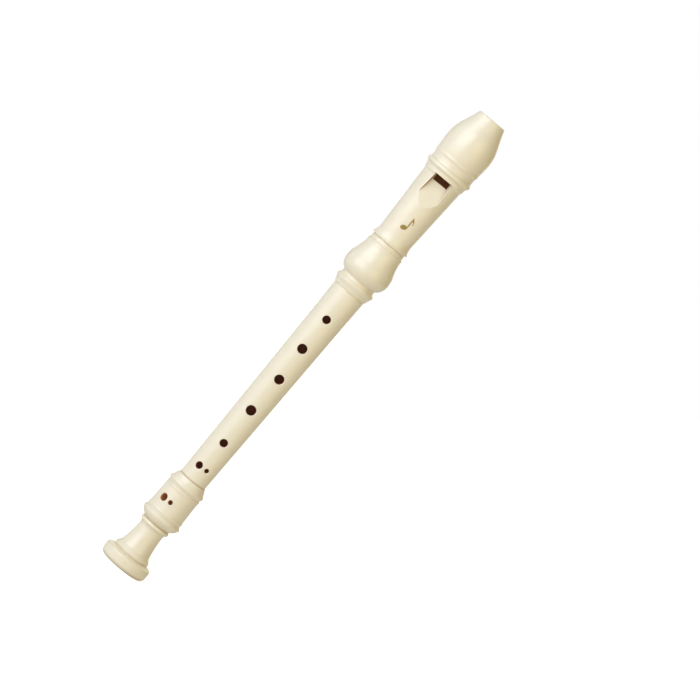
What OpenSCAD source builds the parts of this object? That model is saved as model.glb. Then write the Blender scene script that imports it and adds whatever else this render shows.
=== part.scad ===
// Soprano recorder of moulded plastic: foot joint, middle joint, and head joint with its windway block.
// Z runs up the bore from the bell's rim to the tip of the beak, and the finger holes face -Y.
// A joint is turned from an outline of stations [height, radius, bow]. The bow is how far the stretch
// up to the next station swells (+) or hollows (-) at its middle.

/* [Joints] */
// Height of the foot joint, from the bell's rim to the mouth of its socket
foot_h = 64; // [63.6:0.2:68]
// Length of the middle joint that shows between the foot and the head
middle_h = 139.9; // [139:0.1:150]
// Height of the head joint, from the mouth of its socket to the tip of the beak
head_h = 126.1; // [124:0.1:135]
// Turn of the foot away from the line of finger holes, in degrees
foot_turn = -23; // [-40:1:40]

/* [Bore] */
// Radius of the straight bore in the head
head_bore_r = 6.6; // [6.5:0.05:6.7]
// Bore radius at the middle joint's upper end
bore_top_r = 6.5; // [6.2:0.05:6.6]
// Bore radius at the middle joint's lower end
bore_low_r = 4.9; // [4.6:0.05:5]
// Radius of the straight bore in the foot
foot_bore_r = 5; // [4.8:0.05:5.3]

/* [Tubes] */
// Outer radius of the middle joint under the head
tube_top_r = 10.4; // [10.2:0.05:10.6]
// Outer radius of the middle joint above the foot
tube_low_r = 8.7; // [8.4:0.05:8.8]
// Outer radius of the head's tube at its narrow end, above the bulb
head_tube_low_r = 10.85; // [10.6:0.05:11]
// Outer radius of the head's tube under the collar of the beak
head_tube_top_r = 12.6; // [12.3:0.05:12.8]

/* [Turned shapes] */
// Radius of the bell's rim
bell_r = 15.1; // [14.5:0.05:15.6]
// Radius of the foot's neck where it is thinnest
foot_neck_r = 8; // [7.5:0.05:8.2]
// Radius of the foot's barrel at its lower end
barrel_r = 11.55; // [11.4:0.05:11.7]
// Radius of the head's bulb where it is widest
bulb_r = 14.93; // [14.8:0.01:15]
// Radius of the beak where it is widest
beak_r = 14.97; // [14.9:0.01:15.1]
// Radius of the beak's outline at the tip
tip_r = 8.87; // [8.7:0.01:9.1]

/* [Beak] */
// Radius of the hollow that is cut from the back of the beak
scoop_r = 47.6; // [44:0.2:56]
// How far above the tip the centre of that hollow lies
scoop_lead = 8; // [6:0.5:10]
// How far in front of the bore's axis the back edge of the tip lies
tip_back = 1.2; // [0.6:0.1:1.8]

/* [Windway] */
// Width of the windway and of the window
windway_w = 9.8; // [9:0.1:9.9]
// Length of the windway, from the tip of the beak to the window
windway_l = 42.5; // [42.4:0.1:42.9]
// Height of the windway where it opens into the window
exit_h = 0.95; // [0.8:0.05:1.1]
// Height of the windway at the tip of the beak
entry_h = 1.35; // [1.35:0.05:1.45]
// Distance of the windway's floor from the bore's axis at the window
exit_floor = 6.75; // [6.7:0.05:6.85]
// Distance of the windway's floor from the bore's axis at the tip
entry_floor = 5.4; // [5.35:0.05:5.5]

/* [Window] */
// Height of the window, from the sounding edge to the end of the windway
cut_up = 4.1; // [3.6:0.1:4.4]
// Distance of the sounding edge from the bore's axis
edge_reach = 7.15; // [7.1:0.05:7.2]
// Thickness of the sounding edge
edge_t = 0.25; // [0.2:0.05:0.3]
// Slope of the ramp below the sounding edge, in degrees
ramp_slope = 16.5; // [16:0.5:18]
// Slope of the ramp's underside, in degrees
under_slope = 12; // [10:0.5:13]
// Draft of the two side walls beside the ramp, in degrees
wall_draft = 12; // [8:1:16]
// How much each side wall spreads below the windway, in degrees
wall_flare = 5; // [0:0.5:6]

/* [Tenons] */
// Radius of the upper tenon, which enters the head
upper_tenon_r = 8.7; // [8.5:0.05:8.75]
// Length of the upper tenon
upper_tenon_h = 18; // [16:0.5:18]
// Radius of the lower tenon, which enters the foot
lower_tenon_r = 7.1; // [6.9:0.05:7.2]
// Length of the lower tenon
lower_tenon_h = 13; // [12:0.2:13]
// Radial play between a tenon and its socket
tenon_play = 0.05; // [0.03:0.01:0.08]
// Gap between a tenon's end and the floor of its socket
end_gap = 0.4; // [0.2:0.1:0.5]
// Depth of the grease groove around a tenon
groove_depth = 0.3; // [0.2:0.05:0.4]

/* [Finger holes] */
// How far below the head each single finger hole is
hole_down = [20, 41.5, 63.3, 87, 111.3]; // [10:0.1:120]
// Radius of each single finger hole
hole_r = [2.45, 2.9, 2.9, 3, 2.4]; // [2:0.05:3.2]
// Turn of each single finger hole from the line of holes, in degrees
hole_turn = [0, 0, 7, 0, 0]; // [-10:1:10]
// How far below the head the twin finger hole is
twin_down = 129.9; // [128:0.1:131]
// Radii of the twin finger hole, larger hole first
twin_r = [2.2, 1.4]; // [1:0.05:2.3]
// Turn of each half of the twin finger hole from the line of holes, in degrees
twin_spread = 19; // [17:1:22]
// How far below the head the thumb hole is
thumb_down = 11.5; // [10:0.5:14]
// Radius of the thumb hole
thumb_r = 2.75; // [2.4:0.05:3]
// Height of the foot's twin hole above the bell's rim
foot_twin_up = 47.3; // [46.5:0.1:47.6]
// Radii of the foot's twin hole, larger hole first
foot_twin_r = [2.35, 1.4]; // [1:0.05:2.4]
// Turn of each half of the foot's twin hole from the foot's front, in degrees
foot_twin_spread = 14; // [13:0.5:18]

/* [Hidden] */
$fn = 96;

head_base = foot_h + middle_h;
tip_z = head_base + head_h;
window_top = tip_z - windway_l;
edge_z = window_top - cut_up;
upper_tenon_end = head_base + upper_tenon_h;
lower_tenon_end = foot_h - lower_tenon_h;

// Turn of the outline covered by one flat in a bowed stretch, in degrees
flat_turn = 8;
// Slack past the solid for anything that cuts it
over = 1;
// Larger than any radius of the recorder
clear_r = 25;
// Gap for the bond around the windway block
bond_gap = 0.03;
// Bevel on the windway block's edge at the window
block_bevel = 0.6;
// Length of the ramp's cutter, more than the ramp needs to run out of the tube
ramp_l = 22;
// Length of the cutter under the sounding edge
under_l = 14;
// Bevel on a tenon's end, and on the mouth of a socket
tenon_bevel = 0.5;
mouth_bevel = 0.3;
// Relief at a tenon's root, next to the shoulder
root_h = 1;
// Length of each land of a tenon that bears in the socket
land_h = 3.5;
// Hollow under the bell: radius of its rim and its depth
dish_r = 10.2;
dish_depth = 0.8;
// Bevel on the bore's mouth in the bell
bell_bevel = 0.8;

ivory = [0.93, 0.89, 0.79];
warm_ivory = [0.9, 0.85, 0.73];

// ---- Outlines ----

// Points of the stretch from station low up to station high, without high's own point
function stretch(low, high) =
    low[2] == 0
        ? [[low[1], low[0]]]
        : arc_points([low[1], low[0]], [high[1], high[0]], low[2]);

// Points along the arc from a to b that bows out by bow at its middle, without b
function arc_points(a, b, bow) =
    let (
        chord = norm(b - a),
        arc_r = (chord * chord / 4 + bow * bow) / (2 * abs(bow)),
        out = [b[1] - a[1], a[0] - b[0]] / chord,
        centre = (a + b) / 2 - sign(bow) * (arc_r - abs(bow)) * out,
        start = atan2(a[1] - centre[1], a[0] - centre[0]),
        turn = sign(bow) * 4 * atan(2 * abs(bow) / chord),
        flats = max(2, ceil(abs(turn) / flat_turn)),
        angles = [for (i = [0 : flats - 1]) start + turn * i / flats]
    )
    [for (at = angles) centre + arc_r * [cos(at), sin(at)]];

module turned(stations) {
    last = len(stations) - 1;
    outer = [for (i = [0 : last - 1]) each stretch(stations[i], stations[i + 1])];
    low_point = [0, stations[0][0]];
    top_point = [stations[last][1], stations[last][0]];
    rotate_extrude() polygon(concat([low_point], outer, [top_point, [0, top_point[1]]]));
}

// Heights in the foot are above the rim, and those of its collar are below the socket's mouth
foot_outline = [
    // bell
    [0, bell_r - 2.9, 0.7],
    [2.6, bell_r - 0.05, 0.02],
    [6.2, bell_r, 0.25],
    [7.6, bell_r - 0.75, -0.1],
    [8.8, 11.35, 0],
    [9.3, 11.5, 0.12],
    [10.2, 11.75, 0],
    // neck
    [12.9, foot_neck_r + 1.75, -0.33],
    [27.3, foot_neck_r, 0],
    [28.8, foot_neck_r + 0.4, -0.05],
    [29.3, foot_neck_r + 1.2, 0.4],
    [31.4, foot_neck_r + 1.1, -0.05],
    [31.85, foot_neck_r + 0.5, 0.38],
    // large bead under the barrel
    [35, barrel_r + 0.65, 0.05],
    [36, barrel_r + 1.12, 0.07],
    [36.8, barrel_r + 1.1, 0],
    [38.2, barrel_r, 0],
    [39.1, barrel_r + 0.05, 0.24],
    [40.7, barrel_r, -0.03],
    // barrel, band and collar
    [foot_h - 9, barrel_r - 0.45, 0],
    [foot_h - 8.85, barrel_r - 0.22, 0],
    [foot_h - 7.8, barrel_r - 0.22, 0],
    [foot_h - 7.6, barrel_r - 0.62, -0.04],
    [foot_h - 6.8, barrel_r - 0.55, 0],
    [foot_h - 5.7, barrel_r + 0.05, 0.15],
    [foot_h - 4.4, barrel_r - 0.05, 0],
    [foot_h - 3.2, barrel_r - 0.85, 0],
    [foot_h - 0.45, barrel_r - 2.15, 0.08],
    [foot_h, barrel_r - 2.5, 0]
];

// Heights in the bulb are above the socket's mouth, and those of the beak are below the tip
head_outline = [
    // socket's mouth and cone-shaped bead
    [head_base, bulb_r - 4.25, 0.08],
    [head_base + 0.6, bulb_r - 3.9, 0],
    [head_base + 2.5, bulb_r - 3.25, 0],
    [head_base + 2.7, bulb_r - 3.1, 0],
    [head_base + 4.2, bulb_r - 2.4, 0.08],
    [head_base + 5.2, bulb_r - 2.35, 0],
    [head_base + 6.3, bulb_r - 3.45, -0.1],
    [head_base + 7.5, bulb_r - 3.9, 0],
    [head_base + 8.4, bulb_r - 3.85, 0],
    // bulb
    [head_base + 8.6, bulb_r - 3.7, 0.97],
    [head_base + 15.5, bulb_r, 0.05],
    [head_base + 18.7, bulb_r - 0.34, 0],
    [head_base + 19.9, bulb_r - 0.36, -0.43],
    [head_base + 29.8, bulb_r - 3.13, 0],
    // small bead, groove and ring over the bulb
    [head_base + 30.2, bulb_r - 3.1, 0.06],
    [head_base + 31.6, bulb_r - 3.13, 0],
    [head_base + 32.2, bulb_r - 3.75, 0],
    [head_base + 32.5, bulb_r - 3.83, 0.14],
    [head_base + 34.2, bulb_r - 3.9, -0.04],
    [head_base + 35, bulb_r - 3.98, 0],
    [head_base + 35.4, bulb_r - 2.88, 0.12],
    [head_base + 36.1, bulb_r - 2.85, 0],
    [head_base + 36.6, bulb_r - 3.35, -0.08],
    // tube
    [head_base + 40, head_tube_low_r, 0],
    [tip_z - 44.3, head_tube_top_r, -0.05],
    // collar, round bead and beak
    [tip_z - 43.4, head_tube_top_r + 0.45, 0],
    [tip_z - 42.6, head_tube_top_r + 0.7, 0.03],
    [tip_z - 42.2, head_tube_top_r + 0.75, -0.06],
    [tip_z - 39.95, beak_r - 1.2, 1.03],
    [tip_z - 36.7, beak_r - 1, -0.12],
    [tip_z - 32.4, beak_r - 0.88, 0.06],
    [tip_z - 31.6, beak_r - 0.52, 0.06],
    [tip_z - 30.4, beak_r - 0.5, 0],
    [tip_z - 30.1, beak_r - 0.62, 0.13],
    [tip_z - 21.2, beak_r, 0.594],
    [tip_z - 10.2, beak_r - 2.38, -0.2],
    [tip_z - 0.7, tip_r + 0.28, 0.2],
    [tip_z, tip_r - 0.5, 0]
];

// Stations of a tenon: two lands with a grease groove between them. It runs from the shoulder at
// height root for a length that is negative below the shoulder.
function tenon(root, length, r) =
    let (up = sign(length), far = root + length)
    [
        [root, r - groove_depth, 0],
        [root + up * root_h, r - groove_depth, 0],
        [root + up * (root_h + groove_depth), r, 0],
        [root + up * (root_h + land_h), r, 0],
        [root + up * (root_h + land_h + groove_depth), r - groove_depth, 0],
        [far - up * (tenon_bevel + land_h + groove_depth), r - groove_depth, 0],
        [far - up * (tenon_bevel + land_h), r, 0],
        [far - up * tenon_bevel, r, 0],
        [far, r - tenon_bevel, 0]
    ];

function reversed(list) = [for (i = [len(list) - 1 : -1 : 0]) list[i]];

middle_outline = concat(
    reversed(tenon(foot_h, -lower_tenon_h, lower_tenon_r)),
    [[foot_h, tube_low_r, 0], [head_base, tube_top_r, 0]],
    tenon(head_base, upper_tenon_h, upper_tenon_r)
);

// ---- Cutters ----

// Hole from the bore's axis out through the wall, at a height and a turn from the front
module finger_hole(z, r, turn) {
    translate([0, 0, z]) rotate([90, 0, turn]) cylinder(r = r, h = clear_r);
}

// Straight socket with a bevelled mouth, opening downwards (up = 1) or upwards (up = -1) at height mouth
module socket(mouth, depth, r, up) {
    translate([0, 0, mouth]) mirror([0, 0, up > 0 ? 0 : 1]) {
        translate([0, 0, -over]) cylinder(r = r, h = depth + over);
        translate([0, 0, -over]) cylinder(r1 = r + mouth_bevel + over, r2 = r, h = mouth_bevel + over);
    }
}

// Bar across the recorder of width w whose end view is a list of [distance in front of the axis, height]
module front_bar(w, points) {
    rotate([90, 0, -90]) translate([0, 0, -w / 2]) linear_extrude(w) polygon(points);
}

// Hollow in the back of the beak
module scoop() {
    back = sqrt(scoop_r * scoop_r - scoop_lead * scoop_lead) - tip_back;
    translate([-clear_r, back, tip_z + scoop_lead])
        rotate([0, 90, 0])
            cylinder(r = scoop_r, h = 2 * clear_r, $fn = 192);
}

// Distance of the windway's floor and roof from the axis at height z
function along_windway(z) = (z - window_top) / windway_l;
function floor_at(z) = exit_floor + (entry_floor - exit_floor) * along_windway(z);
function roof_at(z) = floor_at(z) + exit_h + (entry_h - exit_h) * along_windway(z);

// Slot in the head for the windway and, below the floor, for the block's land
module windway_slot() {
    top = tip_z + over;
    roof = [[roof_at(window_top), window_top], [roof_at(top), top]];
    front_bar(windway_w, concat([[0, window_top]], roof, [[0, top]]));
}

// Opening over the sounding edge, and the slope under the edge
module window_opening() {
    reach = edge_reach - edge_t;
    front_bar(windway_w, [
        [0, window_top],
        [clear_r, window_top],
        [clear_r, edge_z],
        [reach, edge_z],
        [reach - under_l * tan(under_slope), edge_z - under_l],
        [0, edge_z - under_l]
    ]);
}

// Space over the ramp, between the two drafted side walls
module ramp_recess() {
    intersection() {
        front_bar(2 * clear_r, [
            [edge_reach, window_top],
            [clear_r, window_top],
            [clear_r, edge_z - ramp_l],
            [edge_reach + ramp_l * tan(ramp_slope), edge_z - ramp_l],
            [edge_reach, edge_z]
        ]);
        union() {
            recess_half();
            mirror([1, 0, 0]) recess_half();
        }
    }
}

// Right half of the space between the side walls
module recess_half() {
    half_w = windway_w / 2;
    depth = clear_r - edge_reach;
    translate([0, 0, window_top]) rotate([0, -wall_flare, 0]) translate([0, 0, -ramp_l - cut_up])
        linear_extrude(ramp_l + cut_up + over)
            polygon([
                [over - half_w, -edge_reach + over],
                [half_w - over * tan(wall_draft), -edge_reach + over],
                [half_w + depth * tan(wall_draft), -clear_r],
                [over - half_w, -clear_r]
            ]);
}

// ---- Sub-parts ----

module head_joint() {
    color(ivory) difference() {
        turned(head_outline);
        translate([0, 0, head_base]) cylinder(r = head_bore_r, h = head_h + over);
        socket(head_base, upper_tenon_h + end_gap, upper_tenon_r + tenon_play, 1);
        windway_slot();
        window_opening();
        ramp_recess();
        scoop();
    }
}

module windway_block() {
    top = tip_z + over;
    core_r = head_bore_r - bond_gap;
    land_w = windway_w - 2 * bond_gap;
    color(warm_ivory) difference() {
        intersection() {
            union() {
                translate([0, 0, window_top]) cylinder(r = core_r, h = windway_l);
                translate([-land_w / 2, -clear_r, window_top]) cube([land_w, clear_r, windway_l]);
            }
            // everything behind the floor of the windway
            front_bar(2 * clear_r, [
                [-clear_r, window_top],
                [exit_floor - block_bevel, window_top],
                [floor_at(window_top + block_bevel), window_top + block_bevel],
                [floor_at(top), top],
                [-clear_r, top]
            ]);
        }
        scoop();
    }
}

module middle_joint() {
    color(ivory) difference() {
        turned(middle_outline);
        bore_l = upper_tenon_end - lower_tenon_end;
        slope = (bore_top_r - bore_low_r) / bore_l;
        translate([0, 0, lower_tenon_end - over])
            cylinder(r1 = bore_low_r - slope * over, r2 = bore_top_r + slope * over, h = bore_l + 2 * over);
        for (i = [0 : len(hole_down) - 1])
            finger_hole(head_base - hole_down[i], hole_r[i], hole_turn[i]);
        finger_hole(head_base - twin_down, twin_r[0], -twin_spread);
        finger_hole(head_base - twin_down, twin_r[1], twin_spread);
        finger_hole(head_base - thumb_down, thumb_r, 180);
    }
}

module foot_joint() {
    bevel_h = over + dish_depth + bell_bevel;
    color(ivory) rotate([0, 0, foot_turn]) difference() {
        turned(foot_outline);
        translate([0, 0, -over]) cylinder(r = foot_bore_r, h = foot_h);
        socket(foot_h, lower_tenon_h + end_gap, lower_tenon_r + tenon_play, -1);
        translate([0, 0, -over]) cylinder(r1 = foot_bore_r + bevel_h, r2 = foot_bore_r, h = bevel_h);
        translate([0, 0, -over]) cylinder(r1 = dish_r, r2 = dish_r - dish_depth, h = dish_depth + over);
        finger_hole(foot_twin_up, foot_twin_r[0], -foot_twin_spread);
        finger_hole(foot_twin_up, foot_twin_r[1], foot_twin_spread);
    }
}

head_joint();
windway_block();
middle_joint();
foot_joint();
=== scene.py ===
import math

import bmesh
import bpy
import numpy as np
from mathutils import Matrix, Vector


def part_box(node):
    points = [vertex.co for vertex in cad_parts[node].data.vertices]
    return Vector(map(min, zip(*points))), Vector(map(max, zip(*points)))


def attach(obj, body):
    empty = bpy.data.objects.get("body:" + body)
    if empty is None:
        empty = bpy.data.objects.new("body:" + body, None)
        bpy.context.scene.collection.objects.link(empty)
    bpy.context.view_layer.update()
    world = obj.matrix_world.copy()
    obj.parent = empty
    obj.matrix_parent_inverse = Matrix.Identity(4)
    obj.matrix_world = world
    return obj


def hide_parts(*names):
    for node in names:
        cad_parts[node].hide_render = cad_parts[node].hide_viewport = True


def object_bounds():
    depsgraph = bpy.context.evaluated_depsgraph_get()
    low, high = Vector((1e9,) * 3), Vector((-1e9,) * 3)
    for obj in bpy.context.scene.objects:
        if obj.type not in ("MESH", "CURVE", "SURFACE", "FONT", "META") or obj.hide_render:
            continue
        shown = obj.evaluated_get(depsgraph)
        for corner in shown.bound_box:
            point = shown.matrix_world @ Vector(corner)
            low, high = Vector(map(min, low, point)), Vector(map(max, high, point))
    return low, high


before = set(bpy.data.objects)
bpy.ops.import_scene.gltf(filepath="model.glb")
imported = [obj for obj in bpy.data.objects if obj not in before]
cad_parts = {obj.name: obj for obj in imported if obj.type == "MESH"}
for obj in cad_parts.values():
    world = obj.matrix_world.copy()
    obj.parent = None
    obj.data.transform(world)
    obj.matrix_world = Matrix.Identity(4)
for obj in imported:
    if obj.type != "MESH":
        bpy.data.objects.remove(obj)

cad_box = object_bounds()

MM = 0.001

# Mesh density
TURNS = 180                 # corners around a turned joint
ARC_STEP = math.radians(4)  # turn of one flat on a round stretch of an outline
STRAIGHT_STEP = 1.0 * MM    # longest step along a straight stretch
BORE_STEP = 6.0 * MM        # longest step down a bore
HOLE_TURNS = 72             # corners around a finger hole
RAMP_STEP = 0.25 * MM       # step between the sections over the ramp
SCOOP_STEP = 0.5 * MM       # step between the sections of the hollow behind the beak

# Softened edges of the moulding
EDGE_ROUND = 0.14 * MM
HOLE_ROUND = 0.42 * MM
WINDOW_ROUND = 0.3 * MM
LIP_ROUND = 0.8 * MM

BLOCK_BEVEL = 0.6 * MM      # on the windway block's edge at the window
BOND_GAP = 0.03 * MM        # beside the windway block's land
INNER = 2.0 * MM            # how near the axis the cutters reach
BEYOND = 2.0 * MM           # how far a cutter reaches past the plastic
RAMP_LONG = 22 * MM         # length of the cutter over the ramp
UNDER_LONG = 14 * MM        # length of the cutter under the sounding edge
SCOOP_LONG = 30 * MM        # length of the cutter behind the beak

# Reading the CAD faces
ON_LINE = 0.003 * MM        # most that a turned face strays from its line
ON_PLANE = 0.03             # most that the normals of a plane face differ
SAME_CORNER = 0.01 * MM     # corners of an outline nearer than this are one
SAME_FLAT = 0.03            # flats of one arc differ in length by less than this share
LONG_DROP = 10 * MM         # a straight stretch that drops further is a bore
OPEN_TURN = math.radians(215)  # widest gap in a face that is turned about the axis
SHARP_TURN = math.radians(16)  # turns above this are corners, not arcs
LEAST_ARC_TURN = math.radians(0.15)
MOST_ARC_TURN = math.radians(14)
SHARP_EDGE = math.radians(32)  # edges above this aren't smoothed over


# ---------------------------------------------------------------- outlines read from the CAD nodes

def cad_faces(node):
    """The points and the normals of each CAD face of a node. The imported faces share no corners."""
    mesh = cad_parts[node].data
    points = np.zeros(len(mesh.vertices) * 3)
    mesh.vertices.foreach_get("co", points)
    ends = np.zeros(len(mesh.edges) * 2, int)
    mesh.edges.foreach_get("vertices", ends)
    normals = np.zeros(len(mesh.polygons) * 3)
    mesh.polygons.foreach_get("normal", normals)
    first = np.array([face.vertices[0] for face in mesh.polygons])
    a, b = ends[::2], ends[1::2]
    label = np.arange(len(mesh.vertices))
    while True:
        lowest = np.minimum(label[a], label[b])
        merged = label.copy()
        np.minimum.at(merged, a, lowest)
        np.minimum.at(merged, b, lowest)
        merged = merged[merged]
        if (merged == label).all():
            break
        label = merged
    points, normals = points.reshape(-1, 3), normals.reshape(-1, 3)
    return [(points[label == k], normals[label[first] == k]) for k in np.unique(label)]


def widest_gap(points):
    """The widest angle about the axis that holds none of the points."""
    angles = np.sort(np.arctan2(points[:, 1], points[:, 0]))
    return np.diff(np.append(angles, angles[0] + 2 * math.pi)).max()


def turned_line(points):
    """The two ends (radius, height) of a face that is turned about the axis, or None for any other face."""
    flat = np.column_stack([np.hypot(points[:, 0], points[:, 1]), points[:, 2]])
    middle = flat.mean(0)
    direction = np.linalg.svd(flat - middle, full_matrices=False)[2][0]
    along = (flat - middle) @ direction
    off = np.abs((flat - middle) @ np.array([-direction[1], direction[0]])).max()
    if off > ON_LINE or widest_gap(points) > OPEN_TURN:
        return None
    return flat[along.argmin()], flat[along.argmax()]


def outline(node):
    """The closed outline of a turned node: points (radius, height), up the outside and down the bore."""
    known, links = [], []

    def corner(point):
        for k, other in enumerate(known):
            if np.abs(point - other).max() < SAME_CORNER:
                return k
        known.append(point)
        links.append(set())
        return len(known) - 1

    for points, _ in cad_faces(node):
        line = turned_line(points)
        if line:
            a, b = map(corner, line)
            if a != b:
                links[a].add(b)
                links[b].add(a)
    start = max(range(len(known)), key=lambda k: known[k][0])
    loop = [start, max(links[start], key=lambda k: known[k][1])]
    while loop[-1] != start:
        onward = [k for k in links[loop[-1]] if k != loop[-2]]
        if len(onward) != 1:
            raise RuntimeError(f"the outline of {node} forks at {known[loop[-1]]}")
        loop.append(onward[0])
    return np.array([known[k] for k in loop[:-1]])


def rounded(start, corner, end, shares):
    """Points of the curve from start to end that rounds a corner off, at shares from 0 to 1."""
    return [start * (1 - t) ** 2 + corner * 2 * t * (1 - t) + end * t ** 2 for t in shares]


def turn_at(points, i):
    """Signed turn of a closed outline at its point i."""
    before = points[i] - points[i - 1]
    after = points[(i + 1) % len(points)] - points[i]
    return math.atan2(before[0] * after[1] - before[1] * after[0], before @ after)


def same_arc(points, i):
    """True if the flats on either side of point i belong to one round stretch."""
    before = np.linalg.norm(points[i] - points[i - 1])
    after = np.linalg.norm(points[(i + 1) % len(points)] - points[i])
    return abs(before - after) < SAME_FLAT * after and LEAST_ARC_TURN < abs(turn_at(points, i)) < MOST_ARC_TURN


def on_arc(a, b, c):
    """Points of the arc from a through b to c, without c."""
    m = np.array([b - a, c - b]) * 2
    centre = np.linalg.solve(m, [b @ b - a @ a, c @ c - b @ b])
    radius = np.linalg.norm(a - centre)
    angle = [math.atan2(*(p - centre)[::-1]) for p in (a, b, c)]
    sweep = [math.remainder(angle[k + 1] - angle[k], 2 * math.pi) for k in (0, 1)]
    steps = max(3, math.ceil(abs(sum(sweep)) / ARC_STEP))
    steps = max(steps, math.ceil(abs(sum(sweep)) * radius / STRAIGHT_STEP))
    at = angle[0] + sum(sweep) * np.arange(steps) / steps
    return centre + radius * np.column_stack([np.cos(at), np.sin(at)])


def with_true_arcs(points):
    """The outline with each round stretch, which the CAD node holds as a few flats, as a fine arc."""
    count = len(points)
    inside = [same_arc(points, i) for i in range(count)]
    first = next(i for i in range(count) if not inside[i])
    out, i = [], first
    while i < first + count:
        j = i + 1
        while inside[j % count]:
            j += 1
        a, c = points[i % count], points[j % count]
        if j - i > 1:
            b = points[(i + (j - i) // 2) % count]
            out.extend(on_arc(a, b, c))
        else:
            out.append(a)
        i = j
    return np.array(out)


def walked(points, i, distance, way):
    """The place on a closed outline at a distance from point i, and the last point passed on the way."""
    count, left, k = len(points), distance, i
    while True:
        step = points[(k + way) % count] - points[k % count]
        length = np.linalg.norm(step)
        if length >= left:
            return points[k % count] + step * left / length, k
        left -= length
        k += way


def softened(points, radius):
    """The outline with each sharp corner rounded, as moulded edges are."""
    count = len(points)
    corners = [i for i in range(count) if abs(turn_at(points, i)) > SHARP_TURN]
    lengths = np.linalg.norm(np.roll(points, -1, 0) - points, axis=1)
    run = np.concatenate([[0], np.cumsum(np.concatenate([lengths, lengths]))])
    cuts = []
    for n, i in enumerate(corners):
        room_before = run[i + count] - run[corners[n - 1] + (0 if n == 0 else count)]
        room_after = run[corners[(n + 1) % len(corners)] + (count if n == len(corners) - 1 else 0)] - run[i]
        back = min(radius * abs(math.tan(turn_at(points, i) / 2)), 0.4 * min(room_before, room_after))
        start, low = walked(points, i, back, -1)
        end, high = walked(points, i, back, 1)
        cuts.append((low, high, rounded(start, points[i], end, np.linspace(0, 1, 5))))
    out = []
    for n, (low, high, curve) in enumerate(cuts):
        out.extend(curve)
        nearest = cuts[(n + 1) % len(cuts)][0] + (count if n == len(cuts) - 1 else 0)
        out.extend(points[k % count] for k in range(high + 1, nearest))
    return np.array(out)


def stepped(points):
    """The outline with long straight stretches divided, so that the mesh has even faces."""
    out = []
    for a, b in zip(points, np.roll(points, -1, 0)):
        longest = BORE_STEP if a[1] - b[1] > LONG_DROP else STRAIGHT_STEP
        steps = max(1, math.ceil(np.linalg.norm(b - a) / longest))
        out.extend(a + (b - a) * k / steps for k in range(steps))
    return np.array(out)


def outer_radius(points, z):
    """Largest radius of an outline at a height."""
    a, b = points, np.roll(points, -1, 0)
    low, high = np.minimum(a[:, 1], b[:, 1]), np.maximum(a[:, 1], b[:, 1])
    hit = (low <= z) & (z <= high) & (high > low)
    t = (z - a[hit, 1]) / (b[hit, 1] - a[hit, 1])
    return float((a[hit, 0] + t * (b[hit, 0] - a[hit, 0])).max())


# ---------------------------------------------------------------- meshes

def new_piece(name, points, faces):
    mesh = bpy.data.meshes.new(name)
    mesh.from_pydata([tuple(p) for p in points], [], faces)
    piece = bpy.data.objects.new(name, mesh)
    bpy.context.scene.collection.objects.link(piece)
    return piece


def face_outwards(piece):
    work = bmesh.new()
    work.from_mesh(piece.data)
    bmesh.ops.recalc_face_normals(work, faces=work.faces)
    work.to_mesh(piece.data)
    work.free()


def ring_faces(rings, corners, closed):
    """Quads between neighbouring rings that have the same number of corners."""
    faces = []
    for i in range(rings if closed else rings - 1):
        a, b = i * corners, (i + 1) % rings * corners
        faces.extend((a + k, a + (k + 1) % corners, b + (k + 1) % corners, b + k) for k in range(corners))
    return faces


def lathe(name, points):
    angles = 2 * math.pi * np.arange(TURNS) / TURNS
    ring = np.column_stack([np.cos(angles), np.sin(angles)])
    verts = [(r * c, r * s, z) for r, z in points for c, s in ring]
    piece = new_piece(name, verts, ring_faces(len(points), TURNS, True))
    face_outwards(piece)
    return piece


def loft(name, sections):
    """A closed cutter through a list of rings of points."""
    corners = len(sections[0])
    faces = ring_faces(len(sections), corners, False)
    last = (len(sections) - 1) * corners
    faces += [tuple(range(corners)), tuple(last + k for k in range(corners))]
    piece = new_piece(name, [p for s in sections for p in s], faces)
    face_outwards(piece)
    return piece


def bar(name, half_w, side):
    """A cutter across the recorder, from its end view: points (distance in front of the axis, height)."""
    return loft(name, [[(x, -y, z) for y, z in side] for x in (-half_w, half_w)])


def cut(piece, cutters):
    """Takes the cutters out of a piece and deletes them."""
    for cutter in cutters:
        step = piece.modifiers.new("cut", "BOOLEAN")
        step.operation = "DIFFERENCE"
        step.solver = "EXACT"
        step.object = cutter
    graph = bpy.context.evaluated_depsgraph_get()
    mesh = bpy.data.meshes.new_from_object(piece.evaluated_get(graph))
    piece.modifiers.clear()
    old = piece.data
    piece.data = mesh
    mesh.name = piece.name
    bpy.data.meshes.remove(old)
    for cutter in cutters:
        bpy.data.objects.remove(cutter)


def finger_holes(node):
    """Each hole across a node's bore: its height, its turn about the axis and its radius."""
    found = []
    for points, normals in cad_faces(node):
        _, spread, axes = np.linalg.svd(normals, full_matrices=False)
        axis = axes[2]
        if spread[1] < 0.3 * spread[0] or spread[2] > 0.01 * spread[0] or abs(axis[2]) > 0.01:
            continue
        axis = axis * math.copysign(1, axis @ points.mean(0))
        middle = points[:, 2].mean()
        across, height = points @ np.array([-axis[1], axis[0], 0]), points[:, 2] - middle
        terms = np.column_stack([across, height, np.ones(len(points))])
        u, z, rest = np.linalg.lstsq(terms, across ** 2 + height ** 2, rcond=None)[0] * (0.5, 0.5, 1)
        found.append((middle + z, math.atan2(axis[1], axis[0]), math.sqrt(rest + u * u + z * z)))
    return sorted(found)


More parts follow.
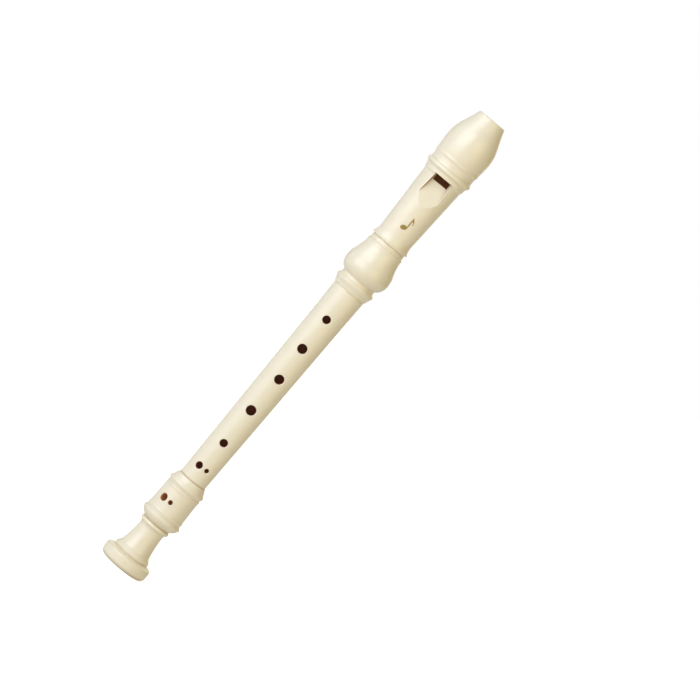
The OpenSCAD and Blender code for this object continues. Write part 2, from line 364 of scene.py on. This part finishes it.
def hole_cutter(points, z, angle, radius):
    """A cutter for one finger hole that flares where it leaves the wall, so that its rim is rounded."""
    wall = outer_radius(points, z)
    taper = (outer_radius(points, z + MM) - outer_radius(points, z - MM)) / (2 * MM)
    out = np.array([math.cos(angle), math.sin(angle), 0])
    side = np.array([-out[1], out[0], 0])
    up = np.array([0, 0, 1])

    def place(around, reach, height):
        return out * height + side * reach * math.cos(around) + up * (z + reach * math.sin(around))

    def surface(around, reach):
        across, rise = reach * math.cos(around), reach * math.sin(around)
        return math.sqrt((wall + taper * rise) ** 2 - across ** 2)

    def rim(around, t):
        far = radius + HOLE_ROUND
        start = np.array([far, surface(around, far)])
        slope = (surface(around, far) - surface(around, radius)) / HOLE_ROUND
        corner = np.array([radius, start[1] - slope * HOLE_ROUND])
        end = corner - [0, HOLE_ROUND]
        return rounded(start, corner, end, [t])[0]

    rounds = 2 * math.pi * np.arange(HOLE_TURNS) / HOLE_TURNS
    rings = [[place(a, radius + HOLE_ROUND, wall + BEYOND) for a in rounds]]
    rings += [[place(a, *rim(a, t)) for a in rounds] for t in np.linspace(0, 1, 7)]
    for depth in (0.8, 1.4, 2.2):
        rings.append([place(a, radius, rim(a, 1)[1] - depth * MM) for a in rounds])
    rings.append([place(a, radius, INNER) for a in rounds])
    return loft("hole", rings)


# ---------------------------------------------------------------- head

def flat_faces(node):
    """The normal and the corners of each plane CAD face of a node."""
    return [(np.median(normals, axis=0), points) for points, normals in cad_faces(node)
            if np.ptp(normals, axis=0).max() < ON_PLANE]


def pick(faces, wanted):
    """The widest of the plane faces that fit a test on normal and middle."""
    fitting = [face for face in faces if wanted(face[0], face[1].mean(0))]
    return max(fitting, key=lambda face: np.ptp(face[1], axis=0).prod() + np.ptp(face[1], axis=0).sum())


def reach_of(face):
    """How far in front of the axis a plane across the recorder lies, as a function of the height."""
    normal, middle = face[0], face[1].mean(0)
    return lambda z: -middle[1] + (z - middle[2]) * normal[2] / normal[1]


def hollow_of(node):
    """Centre (y, height) and radius of the round hollow across the back of a node."""
    bent = [points for points, normals in cad_faces(node)
            if np.abs(normals[:, 0]).max() < 0.001 and np.ptp(normals[:, 2]) > 0.05]
    y, z = max(bent, key=lambda points: np.ptp(points[:, 2]))[:, 1:].T
    terms = np.column_stack([y, z, np.ones(len(y))])
    a, b, c = np.linalg.lstsq(terms, y ** 2 + z ** 2, rcond=None)[0] * (0.5, 0.5, 1)
    return a, b, math.sqrt(c + a * a + b * b)


block_low, block_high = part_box("windway_block")
window_top, tip_z = block_low.z, block_high.z
head_flats = flat_faces("head_joint")
edge = pick(head_flats, lambda n, m: n[2] > 0.99 and m[2] < window_top)[1]
edge_z = edge[:, 2].mean()
edge_out, edge_in, half_w = -edge[:, 1].min(), -edge[:, 1].max(), edge[:, 0].max()
ramp_at = reach_of(pick(head_flats, lambda n, m: n[1] < -0.9 and n[2] > 0.1 and m[2] < edge_z))
under_at = reach_of(pick(head_flats, lambda n, m: n[1] > 0.9 and n[2] > 0.1 and m[2] < edge_z))
roof_at = reach_of(pick(head_flats, lambda n, m: n[1] > 0.9 and m[2] > window_top))
floor_at = reach_of(pick(flat_faces("windway_block"), lambda n, m: n[1] < -0.9))
wall_normal, wall_points = pick(head_flats, lambda n, m: n[0] < -0.9 and n[1] < -0.05 and m[2] < window_top)
hollow_y, hollow_z, hollow_r = hollow_of("windway_block")


def wall_at(reach, z):
    """Half the width between the side walls beside the ramp."""
    x, y, height = wall_points.mean(0)
    return x + (wall_normal[1] * (reach + y) - wall_normal[2] * (z - height)) / wall_normal[0]


def window_cutter(points):
    """Space over the ramp and beside the window, with its rim rounded where it leaves the tube."""
    across = np.linspace(-1, 1, 25)
    lean = wall_normal[1] / wall_normal[0]

    def section(z, floor):
        """Ring at height z: floor, side wall, rounded rim and back outside."""
        wall_r = outer_radius(points, z)
        half = wall_at(floor, z)
        # where the side wall meets the tube: x = half + lean * (y - floor), x * x + y * y = wall_r squared
        a, b, c = 1 + lean ** 2, 2 * lean * (half - lean * floor), (half - lean * floor) ** 2 - wall_r ** 2
        meets = (-b + math.sqrt(b * b - 4 * a * c)) / (2 * a)
        high = max(meets - floor, 0.02 * MM)
        f = min(WINDOW_ROUND, 0.6 * high)
        top = floor + high
        start = np.array([half + lean * (top - f - floor), top - f])
        corner = np.array([half + lean * (top - floor), top])
        tangent = np.array([corner[1], -corner[0]]) / np.linalg.norm(corner)
        end = corner + tangent * f
        outside = end + np.array([0.25, 1]) * 3 * MM
        right = [tuple(p) for p in rounded(start, corner, end, np.linspace(0, 1, 6))] + [tuple(outside)]
        base = [(half * s, floor) for s in across]
        left = [(-x, y) for x, y in reversed(right)]
        return [(x, -y, z) for x, y in base + right + left]

    heights = [window_top, (window_top + edge_z) / 2] + list(np.arange(edge_z, edge_z - RAMP_LONG, -RAMP_STEP))
    return loft("window", [section(z, max(edge_out, ramp_at(z))) for z in heights])


def scoop_depth(z):
    """Distance behind the bore's axis of the hollow's surface at a height, rounded over the tip's edge."""
    y = hollow_y - math.sqrt(max(hollow_r ** 2 - (z - hollow_z) ** 2, 0))
    over = z - (tip_z - LIP_ROUND)
    if over > 0:
        y -= LIP_ROUND - math.sqrt(max(LIP_ROUND ** 2 - min(over, LIP_ROUND) ** 2, 0))
    return y


def scoop_cutter(points):
    """The hollow in the back of the beak, flared where it leaves the sides so that its edge is rounded."""
    def section(z):
        y = scoop_depth(z)
        wall_r = outer_radius(points, min(z, tip_z - 0.75 * MM))
        if y < wall_r - 0.05 * MM:
            x = math.sqrt(wall_r ** 2 - y ** 2)
            f = min(LIP_ROUND, 0.5 * (wall_r - y))
            turn = f / wall_r
            angle = math.atan2(y, x) - turn
            start = np.array([x - f, y])
            corner = np.array([x, y])
            end = wall_r * np.array([math.cos(angle), math.sin(angle)])
        else:
            start = corner = end = np.array([1.0 * MM, y])
        away = end + end / np.linalg.norm(end) * 12 * MM
        right = [tuple(p) for p in rounded(start, corner, end, np.linspace(0, 1, 8))]
        right += [tuple(away), (away[0], 40 * MM)]
        base = [(start[0] * s, y) for s in np.linspace(-1, 1, 9)[1:-1]]
        left = [(-x, y) for x, y in reversed(right)]
        return [(x, y, z) for x, y in base + right + left]

    heights = list(np.arange(tip_z - SCOOP_LONG, tip_z - LIP_ROUND, SCOOP_STEP))
    heights += [tip_z - LIP_ROUND * (1 - math.sin(a)) for a in np.linspace(0, math.pi / 2, 7)]
    heights.append(tip_z + BEYOND)
    return loft("scoop", [section(z) for z in heights])


def build_head(fine):
    piece = lathe("head", fine)
    over = tip_z + BEYOND
    low = window_top - 0.5 * MM
    slot = bar("slot", half_w, [(INNER, low), (roof_at(low), low), (roof_at(over), over), (INNER, over)])
    end = edge_z - UNDER_LONG
    opening = bar("opening", half_w, [
        (INNER, window_top), (edge_out + 0.5 * MM, window_top), (edge_out + 0.5 * MM, edge_z),
        (edge_in, edge_z), (under_at(end), end), (INNER, end)])
    cut(piece, [window_cutter(fine), opening, slot, scoop_cutter(fine)])
    return piece


def build_block(head_points):
    """The block: a plug with a raised land whose top is the windway's floor."""
    radius = block_high.x
    land = half_w - BOND_GAP
    angle = math.asin(land / radius)
    rounds = np.linspace(angle, 2 * math.pi - angle, 97)

    def section(z, floor):
        ring = [(radius * math.sin(a), radius * math.cos(a)) for a in rounds]
        ring += [(x, floor) for x in np.linspace(-land, land, 9)]
        return [(x, -y, z) for x, y in ring]

    heights = [window_top, window_top + BLOCK_BEVEL] + list(np.linspace(window_top + 2 * MM, tip_z, 30))
    sections = [section(z, floor_at(z) - (BLOCK_BEVEL if z == window_top else 0)) for z in heights]
    piece = loft("block", sections)
    cut(piece, [scoop_cutter(head_points)])
    return piece


def build_drilled(name, points, node):
    piece = lathe(name, points)
    cut(piece, [hole_cutter(points, *hole) for hole in finger_holes(node)])
    return piece


def fine_outline(node):
    return stepped(softened(with_true_arcs(outline(node)), EDGE_ROUND))


head_points = fine_outline("head_joint")
middle_points = fine_outline("middle_joint")
foot_points = fine_outline("foot_joint")
head = build_head(head_points)
block = build_block(head_points)
middle = build_drilled("middle", middle_points, "middle_joint")
foot = build_drilled("foot", foot_points, "foot_joint")


# ---------------------------------------------------------------- gold mark

MARK_UNDER_TIP = 75.0 * MM  # from the tip of the beak down to the middle of the note
MARK_PROUD = 0.04 * MM      # how far the foil stands off the tube
MARK_SUNK = 0.06 * MM       # how far its back lies inside the tube
MARK_STRIP = 0.2 * MM       # width of the strips in which the note is bent to the tube
STEM_X = 1.5 * MM
STEM_HALF = 0.3 * MM
STEM_TOP = 4.6 * MM
HEAD_Z = -3.0 * MM
HEAD_LONG = 2.0 * MM
HEAD_SHORT = 1.4 * MM
HEAD_TILT = math.radians(22)


def note_outline():
    """Outline (x, height) of a plain eighth note: round head, stem and flag."""
    points = []
    for k in range(40):
        a = math.radians(-8) - k / 39 * math.radians(318)
        x, z = HEAD_LONG * math.cos(a), HEAD_SHORT * math.sin(a)
        points.append((x * math.cos(HEAD_TILT) - z * math.sin(HEAD_TILT) - 0.15 * MM,
                       x * math.sin(HEAD_TILT) + z * math.cos(HEAD_TILT) + HEAD_Z))
    points = [q for q in points if q[0] < STEM_X - STEM_HALF or q[1] < HEAD_Z]
    points = [q for q in points if q[0] < STEM_X + STEM_HALF]
    points += [(STEM_X - STEM_HALF, HEAD_Z + 1.2 * MM), (STEM_X - STEM_HALF, STEM_TOP)]
    base = Vector((STEM_X + STEM_HALF, STEM_TOP))
    outer = [base + Vector(p) * MM for p in ((0, 0), (0.2, -1.3), (2.3, -1.9), (1.5, -4.3))]
    inner = [base + Vector(p) * MM for p in ((1.5, -4.3), (1.7, -2.7), (0.4, -2.3), (0, -1.9))]
    for curve in (outer, inner):
        for k in range(12):
            t = k / 12
            q = (curve[0] * (1 - t) ** 3 + curve[1] * 3 * t * (1 - t) ** 2
                 + curve[2] * 3 * t * t * (1 - t) + curve[3] * t ** 3)
            points.append((q.x, q.y))
    points += [(STEM_X + STEM_HALF, STEM_TOP - 1.9 * MM), (STEM_X + STEM_HALF, HEAD_Z + 0.3 * MM)]
    return points


def build_mark():
    """A thin gold note on the front of the head's tube, bent to the tube."""
    mesh = bpy.data.meshes.new("mark")
    work = bmesh.new()
    face = work.faces.new([work.verts.new((x, 0, tip_z - MARK_UNDER_TIP + z)) for x, z in note_outline()])
    bmesh.ops.triangulate(work, faces=[face])
    for k in range(-12, 24):
        everything = work.verts[:] + work.edges[:] + work.faces[:]
        bmesh.ops.bisect_plane(work, geom=everything, plane_co=(k * MARK_STRIP, 0, 0), plane_no=(1, 0, 0))
    back = bmesh.ops.duplicate(work, geom=work.faces[:])
    rim = [e for e in work.edges if e.is_boundary]
    lower = {v for v in back["geom"] if isinstance(v, bmesh.types.BMVert)}
    for v in work.verts:
        reach = outer_radius(head_points, v.co.z) + (-MARK_SUNK if v in lower else MARK_PROUD)
        turn = v.co.x / reach
        v.co = (reach * math.sin(turn), -reach * math.cos(turn), v.co.z)
    bmesh.ops.bridge_loops(work, edges=rim)
    bmesh.ops.recalc_face_normals(work, faces=work.faces[:])
    work.to_mesh(mesh)
    work.free()
    piece = bpy.data.objects.new("mark", mesh)
    bpy.context.scene.collection.objects.link(piece)
    return piece


mark = build_mark()


# ---------------------------------------------------------------- materials

AO_SAMPLES = 10
WIDE_REACH = 2.6 * MM       # plastic with another surface this near gets a little painted brown shade
WIDE_MOST = 0.3             # most of that painted shade
CLOSE_REACH = 0.6 * MM      # and with one this near it gets a deeper painted shade
CLOSE_MOST = 0.18
GROOVE_MOST = 0.08          # most of the painted shade in a groove
DIM_DEPTH = 1.8 * MM        # depth below the outline at which the painted shade in a hole is darkest
GROOVE_REACH = 0.9 * MM     # how far up and down the outline a groove is judged by
GROOVE_DEPTH = 0.13 * MM    # depth at which a groove's painted shade is darkest
GROOVE_LEAST = 0.12         # share of that depth below which there is no shade
PROFILE_STEP = 0.1 * MM     # step of the heights at which an outline is read
LEFT_WALL_SHADE = 0.75      # painted shade on the walls beside the ramp, darker on the left wall, which faces away from the key lamp
RIGHT_WALL_SHADE = 0.15
SEAM_SHADE = 0.6            # painted shadow on the tube where it enters the foot
SEAM_HALF = 0.25 * MM       # half the height of that seam
SKIN = 0.3 * MM             # corners deeper than this under the outline aren't in a groove
ON_WALL = 0.05 * MM         # how near a corner lies to the wall that it belongs to
BORE_SLACK = 0.18 * MM      # corners this far outside the block's radius still are the bore's

# Darkest shade inside a piece, from 0 to 1: the foot's short bore lets in more light
HEAD_DIM, MIDDLE_DIM, FOOT_DIM = 0.7, 1.0, 0.33

# Colours of the plastic, of its painted shade, highlight and glow, and of the gold
IVORY = [0.80, 0.725, 0.555]
BLOCK_IVORY = [0.77, 0.68, 0.49]
WIDE_PAINTED_SHADE = (0.52, 0.36, 0.16, 1)
CLOSE_PAINTED_SHADE = (0.27, 0.14, 0.05, 1)
GROOVE_PAINTED_SHADE = (0.40, 0.25, 0.10, 1)
RECESS_PAINTED_SHADE = (0.36, 0.20, 0.07, 1)
RIM_PAINTED_HIGHLIGHT = (0.93, 0.88, 0.76, 1)
HOLE_PAINTED_WARM_SHADE = (0.54, 0.27, 0.085, 1)
HOLE_PAINTED_SHADE = (0.09, 0.028, 0.016, 1)
HOLE_PAINTED_GLOW = (0.30, 0.085, 0.035, 1)  # painted glow, an emission that stands in for light coming through the wall
GOLD_WORN = (0.36, 0.25, 0.07, 1)
GOLD_BRIGHT = (0.50, 0.36, 0.12, 1)


def shades_of(piece, points, most):
    """The painted shades of each corner, from 0 to 1: depth in a groove, and depth below the outline up to most,
    which is the depth in a hole and also takes in flat end faces.
    """
    corners = np.zeros(len(piece.data.vertices) * 3)
    piece.data.vertices.foreach_get("co", corners)
    corners = corners.reshape(-1, 3)
    radius = np.hypot(corners[:, 0], corners[:, 1])
    heights = np.arange(points[:, 1].min() + 0.01 * MM, points[:, 1].max(), PROFILE_STEP)
    outside = np.array([outer_radius(points, z) for z in heights])
    wall = np.interp(corners[:, 2], heights, outside)
    count = round(GROOVE_REACH / PROFILE_STEP)
    weights = np.hanning(2 * count + 1)
    around = np.convolve(np.pad(outside, count, "edge"), weights / weights.sum(), "valid")
    depth = np.clip((around - outside) / GROOVE_DEPTH - GROOVE_LEAST, 0, 1)
    groove = np.interp(corners[:, 2], heights, depth)
    groove[radius < wall - SKIN] = 0
    inside = np.clip((wall - radius) / DIM_DEPTH, 0, most)
    return corners, radius, wall, {"inside": inside, "groove": groove, "painted_recess_seam_shade": np.zeros(len(corners))}


def write_shades(piece, shades):
    for name, values in shades.items():
        piece.data.attributes.new(name, "FLOAT", "POINT").data.foreach_set("value", values)


def shade_head():
    """The head gets painted shade in its bore below the window and on the walls beside the ramp."""
    corners, radius, wall, shades = shades_of(head, head_points, HEAD_DIM)
    z, reach = corners[:, 2], -corners[:, 1]
    shades["inside"] = ((radius < block_high.x + BORE_SLACK) & (z < window_top + BEYOND)) * HEAD_DIM
    # painted shade on the side walls of the ramp's recess
    for side, shade in ((-1, LEFT_WALL_SHADE), (1, RIGHT_WALL_SHADE)):
        on_wall = np.abs(corners[:, 0] * side - wall_at(reach, z)) < ON_WALL
        on_wall &= (reach > edge_out - ON_WALL) & (radius < wall - ON_WALL)
        shades["painted_recess_seam_shade"][on_wall & (z < window_top) & (z > edge_z - RAMP_LONG)] = shade
    write_shades(head, shades)


def shade_drilled(piece, points, most, seam_z=None):
    """A drilled joint gets painted shade in its holes, and a painted shadow along the seam with the next joint.
    """
    corners, _, _, shades = shades_of(piece, points, most)
    if seam_z is not None:
        # painted shadow where the tube enters the next joint
        shades["painted_recess_seam_shade"][np.abs(corners[:, 2] - seam_z) < SEAM_HALF] = SEAM_SHADE
    write_shades(piece, shades)


shade_head()
shade_drilled(middle, middle_points, MIDDLE_DIM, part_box("foot_joint")[1].z)
shade_drilled(foot, foot_points, FOOT_DIM)


class Nodes:
    """A small helper that adds shader nodes and links them."""

    def __init__(self, tree):
        self.tree = tree
        tree.nodes.clear()

    def add(self, kind, settings=None, **inputs):
        made = self.tree.nodes.new(kind)
        for key, value in (settings or {}).items():
            setattr(made, key, value)
        for key, value in inputs.items():
            self.put(made, key.replace("_", " "), value)
        return made

    def put(self, made, key, value):
        socket = made.inputs[int(key)] if key.isdigit() else made.inputs[key]
        if isinstance(value, bpy.types.NodeSocket):
            self.tree.links.new(value, socket)
        else:
            socket.default_value = value

    def spread(self, value, low, high, to_low, to_high):
        made = self.add("ShaderNodeMapRange")
        keys = "Value", "From Min", "From Max", "To Min", "To Max"
        for key, v in zip(keys, (value, low, high, to_low, to_high)):
            self.put(made, key, v)
        return made.outputs["Result"]

    def attribute(self, name):
        return self.add("ShaderNodeAttribute", {"attribute_name": name}).outputs["Fac"]

    def occlusion(self, distance):
        return self.add("ShaderNodeAmbientOcclusion", {"samples": AO_SAMPLES}, Distance=distance).outputs["AO"]

    def mix(self, share, a, b):
        made = self.add("ShaderNodeMix", {"data_type": "RGBA"})
        for key, v in (("Factor", share), ("A", a), ("B", b)):
            socket = next(q for q in made.inputs if q.name == key and q.enabled)
            if isinstance(v, bpy.types.NodeSocket):
                self.tree.links.new(v, socket)
            else:
                socket.default_value = v
        return next(q for q in made.outputs if q.enabled)

    def noise(self, where, scale, detail=2.0):
        return self.add("ShaderNodeTexNoise", Vector=where, Scale=scale, Detail=detail).outputs["Fac"]


def plastic(name, colour):
    """Moulded satin plastic: clouded colour, fine uneven skin, painted brown shade in corners, grooves, recesses
    and seams, a painted highlight on hole rims, and painted shade and glow in the holes.
    """
    material = bpy.data.materials.new(name)
    material.use_nodes = True
    n = Nodes(material.node_tree)
    where = n.add("ShaderNodeTexCoord").outputs["Object"]
    cloud = n.noise(where, 60.0)
    tint = n.mix(n.spread(cloud, 0.3, 0.7, 0.0, 1.0), [c * 0.985 for c in colour] + [1],
                 [min(c * 1.012, 1) for c in colour] + [1])
    inside = n.attribute("inside")
    # painted shade: browner where occlusion finds other surfaces near, standing in for light that doesn't reach
    # corners
    shaded = n.mix(n.spread(n.occlusion(WIDE_REACH), 0.95, 0.5, 0.0, WIDE_MOST), tint, WIDE_PAINTED_SHADE)
    shaded = n.mix(n.spread(n.occlusion(CLOSE_REACH), 0.93, 0.5, 0.0, CLOSE_MOST), shaded, CLOSE_PAINTED_SHADE)
    # painted shade in the grooves of the outline
    shaded = n.mix(n.spread(n.attribute("groove"), 0.0, 1.0, 0.0, GROOVE_MOST), shaded, GROOVE_PAINTED_SHADE)
    # painted shade on the ramp's walls and along the seam above the foot
    shaded = n.mix(n.attribute("painted_recess_seam_shade"), shaded, RECESS_PAINTED_SHADE)
    # painted highlight on the rounded rims of the holes
    rim = n.mix(n.spread(inside, 0.005, 0.06, 0.0, 0.6), shaded, RIM_PAINTED_HIGHLIGHT)
    # painted shade inside the holes and the bore: warm brown first, then near black further in
    warm = n.mix(n.spread(inside, 0.15, 0.32, 0.0, 1.0), rim, HOLE_PAINTED_WARM_SHADE)
    final = n.mix(n.spread(inside, 0.32, 1.0, 0.0, 1.0), warm, HOLE_PAINTED_SHADE)
    fine = n.noise(where, 2600.0, 3.0)
    peel = n.noise(where, 420.0)
    grain = n.add("ShaderNodeBump", Strength=0.05, Distance=0.02 * MM, Height=fine)
    skin = n.add("ShaderNodeBump", Strength=0.10, Distance=0.03 * MM, Height=peel, Normal=grain.outputs["Normal"])
    satin = n.spread(n.noise(where, 150.0, 4.0), 0.3, 0.7, 0.28, 0.35)
    # the emission is a painted glow in the holes, standing in for light through the wall
    surface = n.add("ShaderNodeBsdfPrincipled", Base_Color=final, Roughness=satin, Normal=skin.outputs["Normal"],
                    Specular_IOR_Level=n.spread(inside, 0.1, 0.4, 1.0, 0.25),
                    Subsurface_Weight=0.12, Subsurface_Scale=1.0 * MM,
                    Subsurface_Radius=(1.0, 0.6, 0.3), IOR=1.52,
                    Emission_Color=HOLE_PAINTED_GLOW, Emission_Strength=n.spread(inside, 0.15, 0.33, 0.0, 0.09))
    n.add("ShaderNodeOutputMaterial", Surface=surface.outputs["BSDF"])
    return material


def gold(name):
    """Thin gold foil: worn colour and fine scratches."""
    material = bpy.data.materials.new(name)
    material.use_nodes = True
    n = Nodes(material.node_tree)
    where = n.add("ShaderNodeTexCoord").outputs["Object"]
    worn = n.spread(n.noise(where, 900.0, 3.0), 0.35, 0.7, 0.0, 1.0)
    colour = n.mix(worn, GOLD_WORN, GOLD_BRIGHT)
    bump = n.add("ShaderNodeBump", Strength=0.2, Distance=0.02 * MM, Height=n.noise(where, 3000.0))
    surface = n.add("ShaderNodeBsdfPrincipled", Base_Color=colour, Metallic=0.9,
                    Roughness=n.spread(worn, 0.0, 1.0, 0.42, 0.3), Normal=bump.outputs["Normal"])
    n.add("ShaderNodeOutputMaterial", Surface=surface.outputs["BSDF"])
    return material


ivory = plastic("ivory", IVORY)
block_ivory = plastic("block_ivory", BLOCK_IVORY)

for piece, body, node, slot, material in (
        (head, "head", "head_joint", "ivory_plastic", ivory),
        (block, "head", "windway_block", "block_plastic", block_ivory),
        (middle, "middle", "middle_joint", "ivory_plastic", ivory),
        (foot, "foot", "foot_joint", "ivory_plastic", ivory)):
    piece.data.shade_smooth()
    piece.data.set_sharp_from_angle(angle=SHARP_EDGE)
    piece.data.materials.clear()
    piece.data.materials.append(material)
    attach(piece, body)
    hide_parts(node)
mark.data.materials.append(gold("gold_foil"))
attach(mark, "head")


# ---------------------------------------------------------------- floor, light and camera

scene = bpy.context.scene
scene.view_settings.view_transform = "Standard"

FLOOR_HALF = 6.0
FLOOR_TINTS = (0.84, 0.84, 0.835, 1), (0.87, 0.87, 0.865, 1)
FLOOR_GLOW = 0.64           # brightens the floor for the camera only, as in a cut-out studio picture
floor = new_piece("floor", [(x, y, 0) for x, y in ((-1, -1), (1, -1), (1, 1), (-1, 1))], [(0, 1, 2, 3)])
floor.data.transform(Matrix.Scale(FLOOR_HALF, 4))
material = bpy.data.materials.new("floor")
material.use_nodes = True
n = Nodes(material.node_tree)
where = n.add("ShaderNodeTexCoord").outputs["Object"]
pale = n.mix(n.spread(n.noise(where, 9.0), 0.3, 0.7, 0.0, 1.0), *FLOOR_TINTS)
matt = n.add("ShaderNodeBsdfDiffuse", Color=pale)
glow = n.add("ShaderNodeEmission", Strength=FLOOR_GLOW)
lit = n.add("ShaderNodeAddShader")
n.put(lit, "0", matt.outputs["BSDF"])
n.put(lit, "1", glow.outputs["Emission"])
seen = n.add("ShaderNodeMixShader", Fac=n.add("ShaderNodeLightPath").outputs["Is Camera Ray"])
n.put(seen, "1", matt.outputs["BSDF"])
n.put(seen, "2", lit.outputs["Shader"])
n.add("ShaderNodeOutputMaterial", Surface=seen.outputs["Shader"])
floor.data.materials.append(material)

# The room: warm and dim away from the window side, pale towards it
ROOM_WAY = Vector((-0.72, -0.62, 0.38)).normalized()
ROOM_DIM = (0.22, 0.15, 0.03, 1)
ROOM_PALE = (0.63, 0.69, 0.75, 1)
WHITE = (1, 1, 1, 1)
world = bpy.data.worlds.new("studio")
scene.world = world
world.use_nodes = True
n = Nodes(world.node_tree)
way = n.add("ShaderNodeTexCoord").outputs["Generated"]
toward = n.add("ShaderNodeVectorMath", {"operation": "DOT_PRODUCT"})
n.put(toward, "0", way)
n.put(toward, "1", ROOM_WAY)
share = n.spread(toward.outputs["Value"], -0.6, 0.9, 0.0, 1.0)
room = n.mix(share, ROOM_DIM, ROOM_PALE)
seen = n.add("ShaderNodeLightPath").outputs["Is Camera Ray"]
sky = n.add("ShaderNodeBackground", Color=n.mix(seen, room, WHITE))
n.add("ShaderNodeOutputWorld", Surface=sky.outputs["Background"])

OBJECT_MIDDLE = Vector((0, 0, (cad_box[0].z + cad_box[1].z) / 2))


LAMP_DISTANCE = 2.2
LAMP_HEIGHT = 2.2


def softbox(name, way, width, radiance, colour):
    """An area lamp of a given radiance that faces the recorder."""
    lamp = bpy.data.lights.new(name, "AREA")
    lamp.shape = "RECTANGLE"
    lamp.size, lamp.size_y = width, LAMP_HEIGHT
    lamp.energy = radiance * math.pi * width * LAMP_HEIGHT
    lamp.color = colour
    holder = bpy.data.objects.new(name, lamp)
    scene.collection.objects.link(holder)
    holder.location = OBJECT_MIDDLE + way.normalized() * LAMP_DISTANCE
    holder.rotation_euler = way.to_track_quat("Z", "Y").to_euler()


softbox("key", Vector((-0.70, -0.68, 0.36)), 2.2, 2.08, (0.975, 1.0, 1.12))
softbox("fill", Vector((0.62, -0.80, 0.20)), 1.8, 1.14, (1.0, 0.79, 0.26))
softbox("back", Vector((0.15, 0.95, 0.40)), 2.2, 0.8, (1.0, 0.95, 0.85))

DISTANCE = 2.62
ELEVATION = math.radians(4.65)
AZIMUTH = math.radians(-1.6)
LEAN = math.radians(39.85)  # how far the recorder leans in the picture
FRAME_W = 0.3968            # width of the picture at the recorder
AIM_RIGHT = 0.02498         # place of the picture's middle beside and above the recorder's
AIM_UP = -0.00332
SENSOR_W = 36

back = Vector((math.sin(AZIMUTH), -math.cos(AZIMUTH), math.tan(ELEVATION))).normalized()
level = Vector((0, 0, 1)).cross(back).normalized()
rise = back.cross(level)
right = level * math.cos(LEAN) + rise * math.sin(LEAN)
up = rise * math.cos(LEAN) - level * math.sin(LEAN)
camera = bpy.data.objects.new("camera", bpy.data.cameras.new("camera"))
scene.collection.objects.link(camera)
scene.camera = camera
camera.data.sensor_width = SENSOR_W
camera.data.lens = SENSOR_W * DISTANCE / FRAME_W
camera.data.clip_end = 30
camera.location = OBJECT_MIDDLE + right * AIM_RIGHT + up * AIM_UP + back * DISTANCE
camera.rotation_euler = Matrix((right, up, back)).transposed().to_euler()
